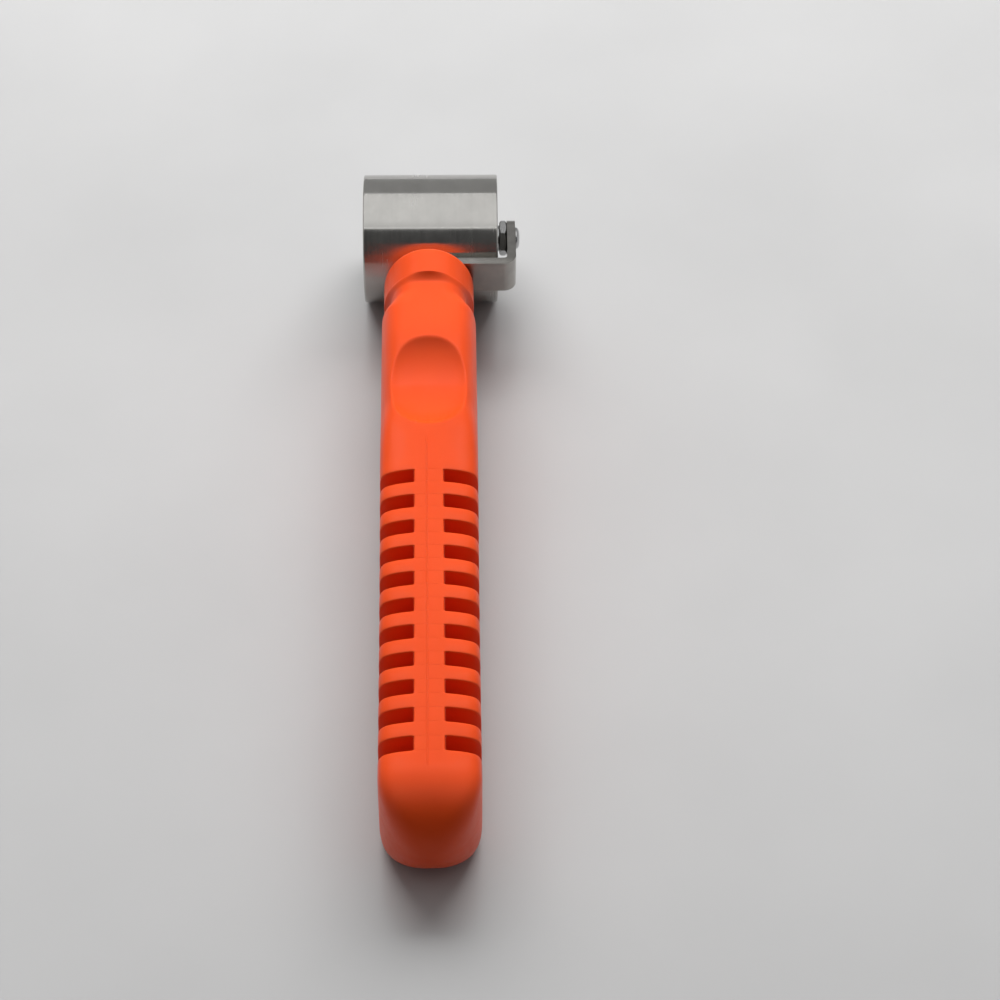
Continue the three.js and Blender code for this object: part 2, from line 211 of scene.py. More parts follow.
def rounded(points, radius, steps=3):
    """The closed outline with every corner replaced by an arc, or by a straight cut on a short side."""
    out = []
    count = len(points)
    for i in range(count):
        before, here, after = (Vector(points[(i + k) % count]) for k in (-1, 0, 1))
        a, b = before - here, after - here
        reach = min(radius, 0.45 * a.length, 0.45 * b.length)
        start, end = here + a.normalized() * reach, here + b.normalized() * reach
        for k in range(steps + 1):
            t = k / steps
            out.append(tuple(start * (1 - t) ** 2 + here * (2 * t * (1 - t)) + end * t**2))
    return out


# ---------------------------------------------------------------- node helpers


class Nodes:
    """A small builder for one material's nodes."""

    def __init__(self, name):
        self.material = bpy.data.materials.new(name)
        self.material.use_nodes = True
        self.tree = self.material.node_tree
        self.shader = self.tree.nodes["Principled BSDF"]

    def add(self, kind, **settings):
        node = self.tree.nodes.new(kind)
        for key, value in settings.items():
            setattr(node, key, value)
        return node

    def link(self, source, target):
        self.tree.links.new(source, target)

    def place(self, stretch=(1, 1, 1)):
        """Object coordinates in metres, stretched so that a texture's scale counts per metre."""
        coordinates = self.add("ShaderNodeTexCoord")
        mapping = self.add("ShaderNodeMapping")
        mapping.inputs["Scale"].default_value = stretch
        self.link(coordinates.outputs["Object"], mapping.inputs["Vector"])
        return mapping.outputs["Vector"]

    def noise(self, scale, detail=4.0, roughness=0.5, stretch=(1, 1, 1)):
        node = self.add("ShaderNodeTexNoise")
        node.inputs["Scale"].default_value = scale
        node.inputs["Detail"].default_value = detail
        node.inputs["Roughness"].default_value = roughness
        self.link(self.place(stretch), node.inputs["Vector"])
        return node.outputs["Fac"]

    def ramp(self, value, low, high, out_low, out_high):
        node = self.add("ShaderNodeMapRange")
        for key, number in (("From Min", low), ("From Max", high), ("To Min", out_low), ("To Max", out_high)):
            node.inputs[key].default_value = number
        self.link(value, node.inputs["Value"])
        return node.outputs["Result"]

    def mix(self, factor, first, second):
        node = self.add("ShaderNodeMix", data_type="RGBA")
        for socket, value in ((node.inputs[6], first), (node.inputs[7], second)):
            if isinstance(value, tuple):
                socket.default_value = (*value, 1)
            else:
                self.link(value, socket)
        self.link(factor, node.inputs[0])
        return node.outputs[2]

    def math(self, operation, first, second):
        node = self.add("ShaderNodeMath", operation=operation)
        for socket, value in zip(node.inputs, (first, second)):
            if isinstance(value, (int, float)):
                socket.default_value = value
            else:
                self.link(value, socket)
        return node.outputs[0]

    def bump(self, *layers):
        """Stacks bumps, each (height, distance in metres, strength)."""
        normal = None
        for height, distance, strength in layers:
            node = self.add("ShaderNodeBump")
            node.inputs["Distance"].default_value = distance
            node.inputs["Strength"].default_value = strength
            self.link(height, node.inputs["Height"])
            if normal:
                self.link(normal, node.inputs["Normal"])
            normal = node.outputs["Normal"]
        self.link(normal, self.shader.inputs["Normal"])


def handle_plastic():
    """Satin orange moulding: faint cloudiness in the colour, a fine spark texture and small scuffs."""
    m = Nodes("orange_plastic")
    cloud = m.noise(55, detail=3)
    grain = m.noise(5200, detail=2)
    scuffs = m.noise(900, detail=5, roughness=0.65, stretch=(1, 0.12, 1))
    colour = m.mix(m.ramp(cloud, 0.3, 0.7, 0, 1), (0.72, 0.062, 0.006), (0.77, 0.07, 0.008))
    m.link(colour, m.shader.inputs["Base Color"])
    m.link(m.ramp(scuffs, 0.35, 0.75, 0.34, 0.46), m.shader.inputs["Roughness"])
    m.shader.inputs["Specular IOR Level"].default_value = 0.22
    m.shader.inputs["Subsurface Weight"].default_value = 0.08
    m.shader.inputs["Subsurface Radius"].default_value = (1.0, 0.25, 0.08)
    m.shader.inputs["Subsurface Scale"].default_value = 0.0015
    m.bump((grain, 0.00001, 0.35), (scuffs, 0.00001, 0.2))
    return m.material


def turned_steel(name, colour, rough_low, rough_high, lines=2600, depth=0.3, anisotropy=0.0):
    """Steel turned about X: fine rings round the axis, a cloudy polish and a few long scratches."""
    m = Nodes(name)
    rings = m.noise(lines, detail=3, stretch=(1, 0.002, 0.002))
    cloud = m.noise(120, detail=4, roughness=0.6)
    scratches = m.noise(420, detail=6, roughness=0.75, stretch=(6, 0.25, 0.25))
    dark = tuple(0.86 * c for c in colour)
    m.link(m.mix(m.ramp(cloud, 0.3, 0.7, 0, 1), dark, colour), m.shader.inputs["Base Color"])
    worn = m.ramp(cloud, 0.25, 0.75, rough_low, rough_high)
    finish = m.math("MULTIPLY", m.ramp(rings, 0.3, 0.7, 0.8, 1.0), worn)
    m.link(finish, m.shader.inputs["Roughness"])
    m.shader.inputs["Metallic"].default_value = 1.0
    if anisotropy:
        m.shader.inputs["Anisotropic"].default_value = anisotropy
        m.shader.inputs["Anisotropic Rotation"].default_value = 0.25
        tangent = m.add("ShaderNodeTangent", direction_type="RADIAL", axis="X")
        m.link(tangent.outputs["Tangent"], m.shader.inputs["Tangent"])
    m.bump((rings, 0.000002, depth), (scratches, 0.000004, depth * 0.5))
    return m.material


def plated_steel(name, colour, rough_low, rough_high):
    """Zinc-plated strip: cloudy grey, rolled grain along the strip and small pits."""
    m = Nodes(name)
    cloud = m.noise(240, detail=5, roughness=0.6)
    grain = m.noise(3000, detail=3, stretch=(0.08, 0.08, 1))
    pits = m.noise(6000, detail=2)
    dark = tuple(0.78 * c for c in colour)
    m.link(m.mix(m.ramp(cloud, 0.3, 0.7, 0, 1), dark, colour), m.shader.inputs["Base Color"])
    m.link(m.ramp(cloud, 0.3, 0.7, rough_low, rough_high), m.shader.inputs["Roughness"])
    m.shader.inputs["Metallic"].default_value = 1.0
    m.bump((grain, 0.000006, 0.35), (pits, 0.000006, 0.25))
    return m.material


def table_top():
    """Pale glossy laminate with a faint mottle."""
    m = Nodes("pale_table")
    mottle = m.noise(14, detail=4)
    colour = m.mix(m.ramp(mottle, 0.3, 0.7, 0, 1), (0.415, 0.413, 0.413), (0.44, 0.438, 0.438))
    m.link(colour, m.shader.inputs["Base Color"])
    m.link(m.ramp(mottle, 0.3, 0.7, 0.2, 0.26), m.shader.inputs["Roughness"])
    m.bump((m.noise(700, detail=2), 0.00002, 0.1))
    return m.material


# ---------------------------------------------------------------- handle


Ring = namedtuple("Ring", "along width height power arch cap lip web", defaults=(0.0, 1.0, 0.0, 0.0))


def mixed(start, end, share):
    return start + (end - start) * share


def body_ring(along, **more):
    """The full section behind the collar: width and height grow from the neck, then it turns boxy."""
    ribbed = float(smoothstep(BOXY_FROM, FIRST_SLOT, along))
    taper = float(smoothstep(TAPER_FROM, TAPER_TO, along))
    neck = 1 - float(smoothstep(NECK_END, SHOULDER_AT, along))
    crown = 1 - float(smoothstep(COLLAR_LENGTH, CROWN_LEVELS_AT, along))
    butt = 1 - float(smoothstep(0, BUTT_ROUNDING, HANDLE_LENGTH - along))
    width = HALF_WIDTH + (RIBBED_HALF_WIDTH - HALF_WIDTH) * taper - NECK_INSET * neck
    height = HALF_HEIGHT - NECK_DROP * crown
    power = mixed(mixed(BODY_POWER, NECK_POWER, neck), RIBBED_POWER, ribbed)
    return Ring(along, width, height, mixed(power, BUTT_POWER, butt), ARCH_DROP * ribbed, **more)


def collar_ring(along, share):
    """A section that is the collar's where share is 0 and the neck's where it is 1."""
    neck = body_ring(COLLAR_LENGTH)
    width = HALF_WIDTH - COLLAR_INSET
    return Ring(
        along,
        mixed(width, neck.width, share),
        mixed(HALF_HEIGHT, neck.height, share),
        mixed(COLLAR_POWER, neck.power, share),
    )


def section_quarter(half_width, half_height, power, marks, spread):
    """One quarter of a section, crown to side, as (x, z) points.

    The first points stand at the distances in marks from the crown, and the rest share what is
    left in the proportions in spread, so that points line up from one section to the next.
    """
    t = np.linspace(0, math.pi / 2, 700)
    x = half_width * np.sin(t) ** (2 / power)
    z = half_height * np.cos(t) ** (2 / power)
    x[0], z[-1] = 0.0, 0.0
    length = np.concatenate(([0], np.cumsum(np.hypot(np.diff(x), np.diff(z)))))
    places = np.concatenate((marks, marks[-1] + (length[-1] - marks[-1]) * spread[1:]))
    return np.interp(places, length, x), np.interp(places, length, z)


def scooped(x, z, along):
    """Heights after the thumb scoop, an ellipsoid pressed into the crown, with a softened edge."""
    inside = 1 - ((along - SCOOP_AT) / SCOOP_HALF_LENGTH) ** 2 - (x / SCOOP_HALF_WIDTH) ** 2
    if np.max(inside) <= 0:
        return z
    middle = HALF_HEIGHT - SCOOP_DEPTH + SCOOP_HALF_DEPTH
    floor = middle - SCOOP_HALF_DEPTH * np.sqrt(np.clip(inside, 0, 1))
    blend = np.clip(0.5 + 0.5 * (floor - z) / SCOOP_EDGE, 0, 1)
    cut = floor * (1 - blend) + z * blend - SCOOP_EDGE * blend * (1 - blend)
    return np.where(z > 0, cut, z)


def handle_rings():
    """The rings of the skin, from the collar face to the tip of the butt."""
    quarter = np.radians(np.linspace(0, 90, 7))
    rings = []
    for a in np.radians(np.linspace(0, 90, 9)):
        full = collar_ring(COLLAR_ROUNDING * (1 - math.cos(a)), 0)
        inset = COLLAR_ROUNDING * (1 - math.sin(a))
        rings.append(full._replace(width=full.width - inset, height=full.height - inset))
    for s in np.linspace(COLLAR_ROUNDING + RING_GAP, COLLAR_LENGTH - RING_GAP, 8):
        rings.append(collar_ring(s, 0))
    for a in quarter:
        rings.append(collar_ring(COLLAR_LENGTH - EDGE * (1 - math.sin(a)), 0.05 * (1 - math.cos(a))))
    for t in np.linspace(0, 1, 17)[1:]:
        share = 0.05 + 0.95 * (1 - (1 - t) ** 1.8)
        along = COLLAR_LENGTH + COLLAR_STEP * t
        ramp = body_ring(along).height - body_ring(COLLAR_LENGTH).height
        step = collar_ring(along, share)
        rings.append(step._replace(height=step.height + ramp))
    places = np.concatenate((
        np.arange(COLLAR_LENGTH + COLLAR_STEP + 0.3, SCOOP_AT - 15, 0.3),
        np.arange(SCOOP_AT - 15, SCOOP_AT + 16, 0.22),
        np.arange(SCOOP_AT + 16, FIRST_SLOT - RING_GAP, RING_GAP),
    ))
    rings += [body_ring(s) for s in places]
    for i in range(SLOT_COUNT):
        rings += slot_rings(FIRST_SLOT + i * SLOT_PITCH)
    behind = np.arange(rings[-1].along + RING_GAP, HANDLE_LENGTH - BUTT_ROUNDING, RING_GAP)
    rings += [body_ring(s) for s in behind]
    for a in np.radians(np.arange(0, 90, 2.25)):
        full = body_ring(HANDLE_LENGTH - BUTT_ROUNDING * (1 - math.sin(a)))
        cap = math.cos(a)
        rings.append(full._replace(width=full.width * cap, height=full.height * cap, cap=cap))
    return rings


def slot_rings(start):
    """The rings of one slot: rounded lip, wall, rounded floor, and the same again on the way out."""
    quarter = np.radians(np.linspace(0, 90, 5))
    down = [(-EDGE * (1 - math.sin(a)), EDGE * (1 - math.cos(a)), 0) for a in quarter]
    down += [(0, EDGE, k / 4) for k in range(1, 4)]
    down += [(EDGE * (1 - math.cos(a)), EDGE * (1 - math.sin(a)), 1) for a in quarter]
    end = start + SLOT_WIDTH
    into = [body_ring(start + s, lip=lip, web=web) for s, lip, web in down]
    out = [body_ring(end - s, lip=lip, web=web) for s, lip, web in reversed(down)]
    floor = body_ring(start + SLOT_WIDTH / 2, web=1)
    rib = body_ring(end + (SLOT_PITCH - SLOT_WIDTH) / 2)
    return into + [floor] + out + [rib]


def ring_quarter(ring, marks, spread):
    width, height, lip, web = ring.width, ring.height, ring.lip, ring.web
    here = marks if ring.cap > 0.6 else marks * max(ring.cap, 0.02) / 0.6
    x, z = section_quarter(width, height, ring.power, here, spread)
    if lip == 0 and web == 0:
        return x, z
    beyond = smoothstep(WEB_HALF - 0.1, WEB_HALF + 0.5, x)
    lip_x = x - beyond * lip * x / width if web == 0 else x - beyond * EDGE * x / width
    lip_z = z - beyond * (lip if web == 0 else EDGE) * z / height
    if web == 0:
        return lip_x, lip_z
    edge = 0.35
    floor_gap = lip if web == 1 else EDGE
    corner = WEB_HALF - edge
    crown = float(np.interp(WEB_HALF, x, z))
    first = np.searchsorted(here, corner)
    turn = np.clip((here - corner) / edge, 0, math.pi / 2)
    web_x, web_z = x.copy(), z.copy()
    count = len(here)
    fillet = slice(first, count)
    web_x[fillet] = corner + edge * np.sin(turn[fillet])
    web_z[fillet] = crown - edge * (1 - np.cos(turn[fillet]))
    side = slice(count, len(x))
    share = (x[side] * 0 + 1) * spread[1:]
    web_z[side] = web_z[count - 1] * (1 - share)
    web_x[side] = WEB_HALF
    past = smoothstep(corner, WEB_HALF, web_x)
    web_x = web_x + past * floor_gap
    mix = 1.0 if web == 1 else web
    return lip_x * (1 - mix) + web_x * mix, lip_z * (1 - mix) + web_z * mix


def handle_mesh():
    side = abs(PARTING_X)
    marks = np.concatenate((
        [0.0, side - 0.13, side, side + 0.13],
        np.linspace(side + 0.13, WEB_HALF - 0.35, 6)[1:],
        np.linspace(WEB_HALF - 0.35, WEB_HALF + 0.2, 6)[1:],
        [WEB_HALF + 0.45, WEB_HALF + 0.8, WEB_HALF + 1.3],
    ))
    spread = np.linspace(0, 1, 52)
    last_slot = FIRST_SLOT + SLOT_COUNT * SLOT_PITCH
    rows = []
    for ring in handle_rings():
        x, z = ring_quarter(ring, marks, spread)
        loop_x = np.concatenate((x, x[-2::-1], -x[1:], -x[-2:0:-1]))
        loop_z = np.concatenate((z, -z[-2::-1], -z[1:], z[-2:0:-1]))
        arched = 1 - ring.arch / HALF_HEIGHT * (loop_x / HALF_WIDTH) ** 2
        loop_z = np.where(loop_z > 0, loop_z * arched, loop_z)
        loop_z = scooped(loop_x, loop_z, ring.along)
        if SCOOP_AT + 17 < ring.along < last_slot:
            on_line = (loop_z > 0) & (np.abs(loop_x - PARTING_X) < 0.05)
            loop_z = loop_z + PARTING_HEIGHT * on_line
        rows.append(np.stack((loop_x, np.full(len(loop_x), -ring.along), loop_z), axis=1))
    columns = len(rows[0])
    rows = [rows[0] * (share, 1, share) for share in (0.25, 0.5, 0.75)] + rows
    faces = grid_faces(len(rows), columns)
    points = np.concatenate(rows + [np.array([(0, 0, 0), (0, -HANDLE_LENGTH, 0)], float)])
    front, back = len(points) - 2, len(points) - 1
    last = (len(rows) - 1) * columns
    for c in range(columns):
        n = (c + 1) % columns
        faces.append((n, c, front))
        faces.append((last + c, last + n, back))
    return points, faces


def build_handle(material):
    points, faces = handle_mesh()
    turn = Matrix.Rotation(HANDLE_YAW, 3, "Z") @ Matrix.Rotation(HANDLE_TILT, 3, "X")
    points = points @ np.array(turn.transposed())
    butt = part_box("handle")[0].y / MM
    reach = (HANDLE_LENGTH + 0.1) * math.cos(HANDLE_TILT) * math.cos(HANDLE_YAW)
    roller_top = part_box("roller_shell")[1].z / MM
    points += (HANDLE_X, butt + reach, roller_top - HALF_HEIGHT - 0.05)
    points[:, 2] = np.maximum(points[:, 2], 0.02)
    new_piece("plastic_handle", "handle", points, faces, material, "tool")


# ---------------------------------------------------------------- steel arm


def prism(name, outline, low, high):
    """A closed prism over an outline of (a, b) points, as vertices (a, b, low or high) and faces."""
    count = len(outline)
    verts = [(a, b, low) for a, b in outline] + [(a, b, high) for a, b in outline]
    faces = [tuple(range(count - 1, -1, -1)), tuple(range(count, 2 * count))]
    faces += [(i, (i + 1) % count, count + (i + 1) % count, count + i) for i in range(count)]
    mesh = bpy.data.meshes.new(name)
    mesh.from_pydata((np.asarray(verts, float) * MM).tolist(), [], faces)
    mesh.update()
    piece = bpy.data.objects.new(name, mesh)
    bpy.context.scene.collection.objects.link(piece)
    return piece


def combine(piece, other, operation):
    modifier = piece.modifiers.new("combine", "BOOLEAN")
    modifier.operation = operation
    modifier.solver = "EXACT"
    modifier.object = other
    apply_modifiers(piece)
    bpy.data.objects.remove(other)


def build_arm(material):
    low, high = (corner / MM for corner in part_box("bracket"))
    axis = axle_centre()
    thick = 2.0
    tang_x = HANDLE_X
    leg_back = axis.y - 15.35 - 0.4
    leg_front = leg_back - thick
    tang_bend, ear_bend = 2.5, 3.0
    reach = high.y + 2
    plan = [(tang_x - thick / 2, low.y), (tang_x + thick / 2, low.y)]
    tang_corner = (tang_x + tang_bend - thick / 2, leg_front - tang_bend + thick)
    plan += arc(tang_corner, tang_bend - thick, 180, 90, 6)
    plan += arc((high.x - ear_bend, leg_front + ear_bend), ear_bend, -90, 0, 14)
    plan += [(high.x, reach), (high.x - thick, reach)]
    plan += arc((high.x - ear_bend, leg_back + ear_bend - thick), ear_bend - thick, 0, -90, 8)
    plan += arc((tang_x - thick / 2 + tang_bend, leg_back - tang_bend), tang_bend, 90, 180, 12)
    arm = prism("steel_arm", plan, low.z - 5, high.z + 5)
    top, bottom = high.z, high.z - 9.0
    slope = math.degrees(math.atan2(4.2, axis.y - leg_back))
    side = [(low.y - 1, bottom), (leg_back, bottom)]
    side += arc((axis.y, axis.z), 4.25, -90 - slope, 90 - slope, 40)
    side += [(leg_back, top), (low.y - 1, top)]
    profile = prism("arm_side", side, -40, 40)
    profile.data.transform(Matrix(((0, 0, 1, 0), (1, 0, 0, 0), (0, 1, 0, 0), (0, 0, 0, 1))))
    combine(arm, profile, "INTERSECT")
    bevel(arm, 0.28, 3)
    arm.data.shade_smooth()
    arm.data.materials.clear()
    arm.data.materials.append(material)
    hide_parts("bracket")
    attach(arm, "tool")
    weight_normals(arm)
    return arm


# ---------------------------------------------------------------- roller, axle and fasteners


def axle_centre():
    """The middle of the roller, in millimetres."""
    low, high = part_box("roller_shell")
    return (low + high) / 2 / MM


def span(node):
    """(lowest x, highest x, largest radius) of a turned node, in millimetres about the roller's middle."""
    low, high = (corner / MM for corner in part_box(node))
    centre = axle_centre()
    return low.x - centre.x, high.x - centre.x, (high.z - low.z) / 2


def build_turned(name, node, outline, radius, material, body, steps=160, solid=False):
    profile = outline if radius == 0 else rounded(outline, radius)
    verts, faces = lathe(profile, axle_centre(), steps, solid)
    piece = new_piece(name, node, verts, faces, material, body)
    weight_normals(piece)
    return piece


def build_roller(material):
    left, right, radius = span("roller_shell")
    outline = [
        (left, 6.53), (left, radius), (right, radius), (right, 6.53),
        (10.35, 6.53), (10.35, 5.9), (-8.95, 5.9), (-8.95, 6.53),
    ]
    build_turned("polished_roller", "roller_shell", outline, 0.45, material, "roller", 256)


def build_axle(material):
    left, right, radius = span("axle")
    ear = right - 1.1
    profile = [(left, 0), (left, 1.5)]
    profile += arc((left + 0.35, 1.62), 0.35, 180, 90, 4)[1:]
    groove = span("retaining_clip")
    low, high = groove[0] - 0.05, groove[1] + 0.05
    for x, r in ((low, 1.97), (low, 1.5), (high, 1.5), (high, 1.97)):
        profile.append((x, r))
    profile += [(ear, 1.97), (ear, radius), (ear + 0.25, radius)]
    profile += [(ear + 0.25 + 0.85 * math.sin(a), radius * (0.35 + 0.65 * math.cos(a)))
                for a in np.radians(np.linspace(10, 90, 10))]
    profile.append((right, 0))
    build_turned("axle_pin", "axle", profile, 0, material, "tool", 96, solid=True)


def build_ring(name, node, inner, material, body, edge=0.12, steps=96):
    left, right, outer = span(node)
    outline = [(left, inner), (left, outer), (right, outer), (right, inner)]
    build_turned(name, node, outline, edge, material, body, steps)


def build_nut(material):
    """A thin hexagon nut: its corners are chamfered by a 30 degree cone on both faces."""
    left, right, _ = span("lock_nut")
    centre = axle_centre()
    flat, hole = 3.75, 2.02
    steps = 144
    angles = np.radians(np.arange(steps) * 360 / steps)
    off = (np.degrees(angles) % 60) - 30
    hexagon = flat / np.cos(np.radians(off))
    rows = []

    def row(x, r):
        places = np.full(steps, x) if np.isscalar(x) else x
        rows.append(np.stack((places, r * np.cos(angles), r * np.sin(angles)), 1))

    for side, start in ((-1, left), (1, right)):
        cone = (hexagon - flat * 0.97).clip(0) * math.tan(math.radians(30))
        edge = [
            (start - side * 0.25, np.full(steps, hole)),
            (start, np.full(steps, hole + 0.3)),
            (start, np.full(steps, flat * 0.95)),
            (start - side * cone * 0.5, (hexagon + flat * 0.97) / 2),
            (start - side * (cone + 0.02), hexagon - 0.03),
            (start - side * (cone + 0.08), hexagon),
        ]
        for x, r in edge if side < 0 else edge[::-1]:
            row(x, r)
    verts = np.concatenate(rows) + np.array(centre)
    piece = new_piece(
        "thin_nut", "lock_nut", verts, grid_faces(len(rows), steps, closed_rows=True),
        material, "tool",
    )
    piece.data.set_sharp_from_angle(angle=math.radians(25))
    weight_normals(piece)


def build_clip(material):
    """A spring clip: an open ring with three lugs that reach into the axle's groove."""
    left, right, _ = span("retaining_clip")
    centre = axle_centre()
    outer, inner, lug = 4.3, 2.75, 1.62
    outline = []
    for a in np.linspace(32, 328, 60):
        outline.append((outer * math.cos(math.radians(a)), outer * math.sin(math.radians(a))))
    lugs = ((328, 312), (190, 170), (48, 32))
    for begin, end in lugs:
        for a in np.linspace(begin, end, 5):
            outline.append((lug * math.cos(math.radians(a)), lug * math.sin(math.radians(a))))
        if end > 40:
            after = 190 if end > 200 else 48
            for a in np.linspace(end - 8, after + 8, 16):
                outline.append((inner * math.cos(math.radians(a)), inner * math.sin(math.radians(a))))
    clip = prism("spring_clip", outline, left, right)
    x, y, z = (c * MM for c in centre)
    clip.data.transform(Matrix(((0, 0, 1, x), (1, 0, 0, y), (0, 1, 0, z), (0, 0, 0, 1))))
    bevel(clip, 0.08, 2)
    clip.data.shade_smooth()
    clip.data.materials.clear()
    clip.data.materials.append(material)
    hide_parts("retaining_clip")
    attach(clip, "tool")
    weight_normals(clip)


# ---------------------------------------------------------------- ball bearings


def groove(middle, shoulder, start, end):
    """The (along, radius) points of a ball groove between two signed half angles."""
    radius, pitch = 1.15, 4.25
    depth = pitch - shoulder
    half = math.degrees(math.acos(abs(depth) / radius))
    sign = 1 if depth > 0 else -1
    return [
        (middle + radius * math.sin(a), pitch - sign * radius * math.cos(a))
        for a in np.radians(np.linspace(start * half, end * half, 13))
    ]


def build_bearing(side, metals):
    steel, pressed, lapped = metals
    left, right, outer = span(f"{side}_bearing_outer_ring")
    middle = (left + right) / 2
    bore, inner_land, outer_land, shield_seat = 2.0, 3.4, 5.1, 5.6
    step = 0.55
    outline = [(left, shield_seat), (left, outer), (right, outer), (right, shield_seat)]
    outline.append((right - step, shield_seat))
    outline += [(right - step, outer_land)] + groove(middle, outer_land, 1, -1)
    outline += [(left + step, outer_land), (left + step, shield_seat)]
    ring, node = f"{side}_outer_ring", f"{side}_bearing_outer_ring"
    build_turned(ring, node, outline, 0.12, steel, "roller", 128)
    outline = [(left, bore), (left, inner_land)] + groove(middle, inner_land, -1, 1)
    outline += [(right, inner_land), (right, bore)]
    ring, node = f"{side}_inner_ring", f"{side}_bearing_inner_ring"
    build_turned(ring, node, outline, 0.1, steel, "tool", 96)
    for end, sign in (("left", -1), ("right", 1)):
        build_shield(f"{side}_{end}_shield", f"{side}_bearing_{end}_shield", sign, pressed)
    build_cage(side, pressed)
    for i in range(1, 8):
        build_ball(f"{side}_ball_{i}", f"{side}_bearing_ball_{i}", f"{side}_balls", lapped)


def build_shield(name, node, sign, material):
    """A pressed disc: flat rim, a shallow step, and a flat inner band."""
    left, right, outer = span(node)
    face, back = (left, right) if sign < 0 else (right, left)
    inner = 3.55
    lift = -sign * 0.08
    outline = [
        (face, outer), (face, 5.2), (face + lift, 4.95), (face + lift, 4.1), (face, 3.85), (face, inner),
        (back, inner), (back, outer),
    ]
    if sign > 0:
        outline.reverse()
    build_turned(name, node, outline[::-1], 0.04, material, "roller", 96)


def build_cage(side, material):
    node = f"{side}_bearing_cage"
    left, right, outer = span(node)
    profile = rounded([(left, 3.9), (left, outer), (right, outer), (right, 3.9)], 0.08)
    verts, faces = lathe(profile, axle_centre(), 140)
    piece = new_piece(f"{side}_cage", node, verts, faces, material, f"{side}_balls")
    for i in range(1, 8):
        low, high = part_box(f"{side}_bearing_ball_{i}")
        pocket = bpy.data.objects.new("pocket", sphere_mesh("pocket", (low + high) / 2, 1.22 * MM, 2))
        bpy.context.scene.collection.objects.link(pocket)
        combine(piece, pocket, "DIFFERENCE")
    piece.data.set_sharp_from_angle(angle=math.radians(40))
    return piece


def sphere_mesh(name, centre, radius, subdivisions):
    mesh = bpy.data.meshes.new(name)
    ball = bmesh.new()
    bmesh.ops.create_icosphere(ball, subdivisions=subdivisions, radius=radius)
    bmesh.ops.translate(ball, verts=ball.verts, vec=centre)
    ball.to_mesh(mesh)
    ball.free()
    return mesh


def build_ball(name, node, body, material):
    low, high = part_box(node)
    mesh = sphere_mesh(name, (low + high) / 2, 1.1 * MM, 4)
    piece = bpy.data.objects.new(name, mesh)
    bpy.context.scene.collection.objects.link(piece)
    mesh.shade_smooth()
    mesh.materials.append(material)
    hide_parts(node)
    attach(piece, body)


# ---------------------------------------------------------------- studio


def area_light(name, place, target, size, power, colour=(1, 1, 1)):
    data = bpy.data.lights.new(name, "AREA")
    data.shape = "RECTANGLE"
    data.size, data.size_y = size
    data.energy = power
    data.color = colour
    lamp = bpy.data.objects.new(name, data)
    bpy.context.scene.collection.objects.link(lamp)
    lamp.location = place
    lamp.rotation_euler = (Vector(target) - Vector(place)).to_track_quat("-Z", "Y").to_euler()
    lamp.visible_camera = False
    return lamp


def build_room():
    """Soft room light: bright to the sides, grey behind the tool and dark in front of it."""
    world = bpy.data.worlds.new("room")
    bpy.context.scene.world = world
    world.use_nodes = True
    tree = world.node_tree
    background = tree.nodes["Background"]
    way = tree.nodes.new("ShaderNodeTexCoord")
    split = tree.nodes.new("ShaderNodeSeparateXYZ")
    level = tree.nodes.new("ShaderNodeCombineXYZ")
    unit = tree.nodes.new("ShaderNodeVectorMath")
    unit.operation = "NORMALIZE"
    flat = tree.nodes.new("ShaderNodeSeparateXYZ")
    share = tree.nodes.new("ShaderNodeMapRange")
    share.inputs["From Min"].default_value = -1
    ramp = tree.nodes.new("ShaderNodeValToRGB")
    ramp.color_ramp.interpolation = "EASE"
    front = ((0.0, ROOM_FRONT), (0.09, ROOM_FRONT))
    stops = (*front, (0.28, ROOM_SIDE), (0.7, ROOM_SIDE), (0.9, ROOM_BACK), (1.0, ROOM_BACK))
    while len(ramp.color_ramp.elements) < len(stops):
        ramp.color_ramp.elements.new(0.5)
    for element, (place, value) in zip(ramp.color_ramp.elements, stops):
        element.position = place
        element.color = (value, value, value, 1)
    height = tree.nodes.new("ShaderNodeMapRange")
    height.inputs["From Min"].default_value = 0.86
    height.inputs["From Max"].default_value = 0.97
    above = tree.nodes.new("ShaderNodeMix")
    above.data_type = "RGBA"
    above.inputs[7].default_value = (ROOM_TOP, ROOM_TOP, ROOM_TOP, 1)
    seen = tree.nodes.new("ShaderNodeLightPath")
    choose = tree.nodes.new("ShaderNodeMix")
    choose.data_type = "RGBA"
    choose.inputs[7].default_value = (0.72, 0.72, 0.72, 1)
    links = (
        (way.outputs["Generated"], split.inputs[0]), (split.outputs[0], level.inputs[0]),
        (split.outputs[1], level.inputs[1]),
        (level.outputs[0], unit.inputs[0]),
        (unit.outputs[0], flat.inputs[0]),
        (flat.outputs[1], share.inputs["Value"]), (share.outputs[0], ramp.inputs[0]),
        (split.outputs[2], height.inputs["Value"]), (height.outputs[0], above.inputs[0]),
        (ramp.outputs[0], above.inputs[6]), (above.outputs[2], choose.inputs[6]),
        (seen.outputs["Is Camera Ray"], choose.inputs[0]),
        (choose.outputs[2], background.inputs["Color"]),
    )
    for source, target in links:
        tree.links.new(source, target)


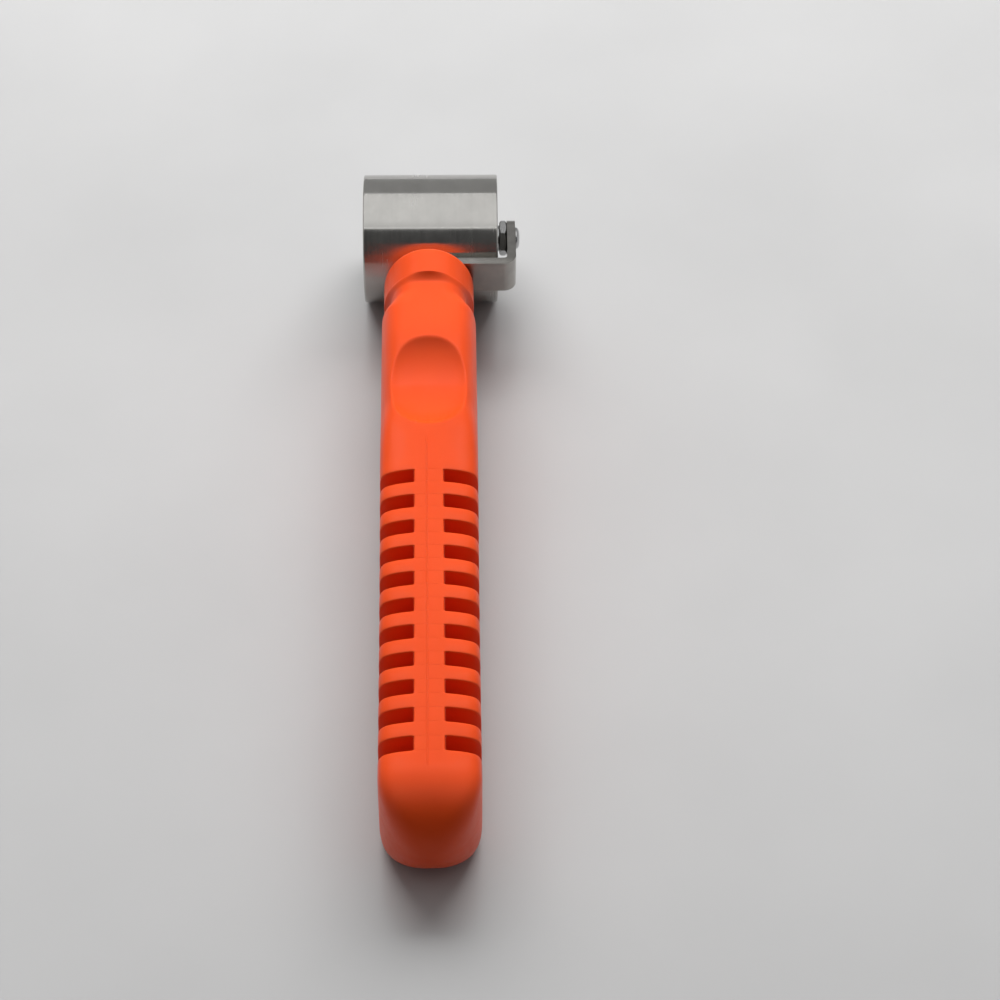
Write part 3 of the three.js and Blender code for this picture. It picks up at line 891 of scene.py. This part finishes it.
def build_studio():
    size = 3.0
    mesh = bpy.data.meshes.new("table")
    corners = [(-size, -size, 0), (size, -size, 0), (size, size, 0), (-size, size, 0)]
    mesh.from_pydata(corners, [], [(0, 1, 2, 3)])
    mesh.materials.append(table_top())
    table = bpy.data.objects.new("table", mesh)
    bpy.context.scene.collection.objects.link(table)
    roller_y = axle_centre().y * MM
    near = roller_y - SOFTBOX_HEIGHT / math.tan(math.radians(63))
    far = roller_y + SOFTBOX_HEIGHT / math.tan(math.radians(49))
    deep, wide = far - near, 1.8
    middle = (near + far) / 2
    glow = SOFTBOX_RADIANCE * math.pi
    place = (0, middle, SOFTBOX_HEIGHT)
    overhead = area_light("overhead", place, (0, middle, 0), (wide, deep), glow * wide * deep)
    overhead.visible_diffuse = False
    for name, edge in (("near_rim", near), ("far_rim", far)):
        place = (0, edge, SOFTBOX_HEIGHT - 0.01)
        power = RIM_GLOW * glow * wide * RIM_DEPTH
        lamp = area_light(name, place, (0, edge, 0), (wide, RIM_DEPTH), power)
        lamp.visible_diffuse = False
    wide, deep = 1.2, 0.8
    target = (0, roller_y - 0.05, 0)
    place = (0, roller_y + 0.68, 0.68)
    key = area_light("key", place, target, (wide, deep), KEY_RADIANCE * math.pi * wide * deep)
    key.visible_glossy = False
    build_room()
    bpy.context.scene.view_settings.view_transform = "Standard"


def build_camera():
    data = bpy.data.cameras.new("camera")
    data.lens = LENS
    data.sensor_width = 36
    camera = bpy.data.objects.new("camera", data)
    bpy.context.scene.collection.objects.link(camera)
    forward = Vector((
        math.sin(AZIMUTH) * math.cos(ELEVATION), math.cos(AZIMUTH) * math.cos(ELEVATION), -math.sin(ELEVATION)
    ))
    right = Vector((math.cos(AZIMUTH), -math.sin(AZIMUTH), 0))
    up = right.cross(forward)
    turned_right = right * math.cos(ROLL) - up * math.sin(ROLL)
    turned_up = up * math.cos(ROLL) + right * math.sin(ROLL)
    axes = Matrix((turned_right, turned_up, -forward)).transposed()
    camera.matrix_world = Matrix.Translation(AIM - forward * AWAY) @ axes.to_4x4()
    bpy.context.scene.camera = camera


# ---------------------------------------------------------------- the whole tool

plastic = handle_plastic()
polished = turned_steel("polished_steel", (0.55, 0.54, 0.515), 0.23, 0.3, depth=0.1, anisotropy=1.0)
plated = plated_steel("plated_strip", (0.42, 0.405, 0.38), 0.17, 0.27)
machined = turned_steel("machined_steel", (0.5, 0.5, 0.5), 0.22, 0.32, lines=5200, depth=0.5)
ground = turned_steel("ground_bearing_steel", (0.56, 0.56, 0.57), 0.12, 0.2, lines=6000, depth=0.4)
sprung = turned_steel("dark_spring_steel", (0.2, 0.2, 0.21), 0.3, 0.42, lines=3000, depth=0.3)
pressed = turned_steel("pressed_steel", (0.5, 0.49, 0.47), 0.25, 0.36, lines=4200, depth=0.3)
lapped = turned_steel("lapped_steel", (0.65, 0.65, 0.66), 0.04, 0.07, lines=8000, depth=0.1)

build_camera()
build_handle(plastic)
build_arm(plated)
build_roller(polished)
build_axle(machined)
build_ring("inboard_shim", "axle_shim", 2.02, machined, "tool")
build_ring("spacer_tube", "bearing_spacer", 2.02, machined, "tool")
build_ring("outboard_washer", "end_washer", 2.02, machined, "tool")
build_nut(machined)
build_clip(sprung)
for end in ("outboard", "inboard"):
    build_bearing(end, (ground, pressed, lapped))
build_studio()
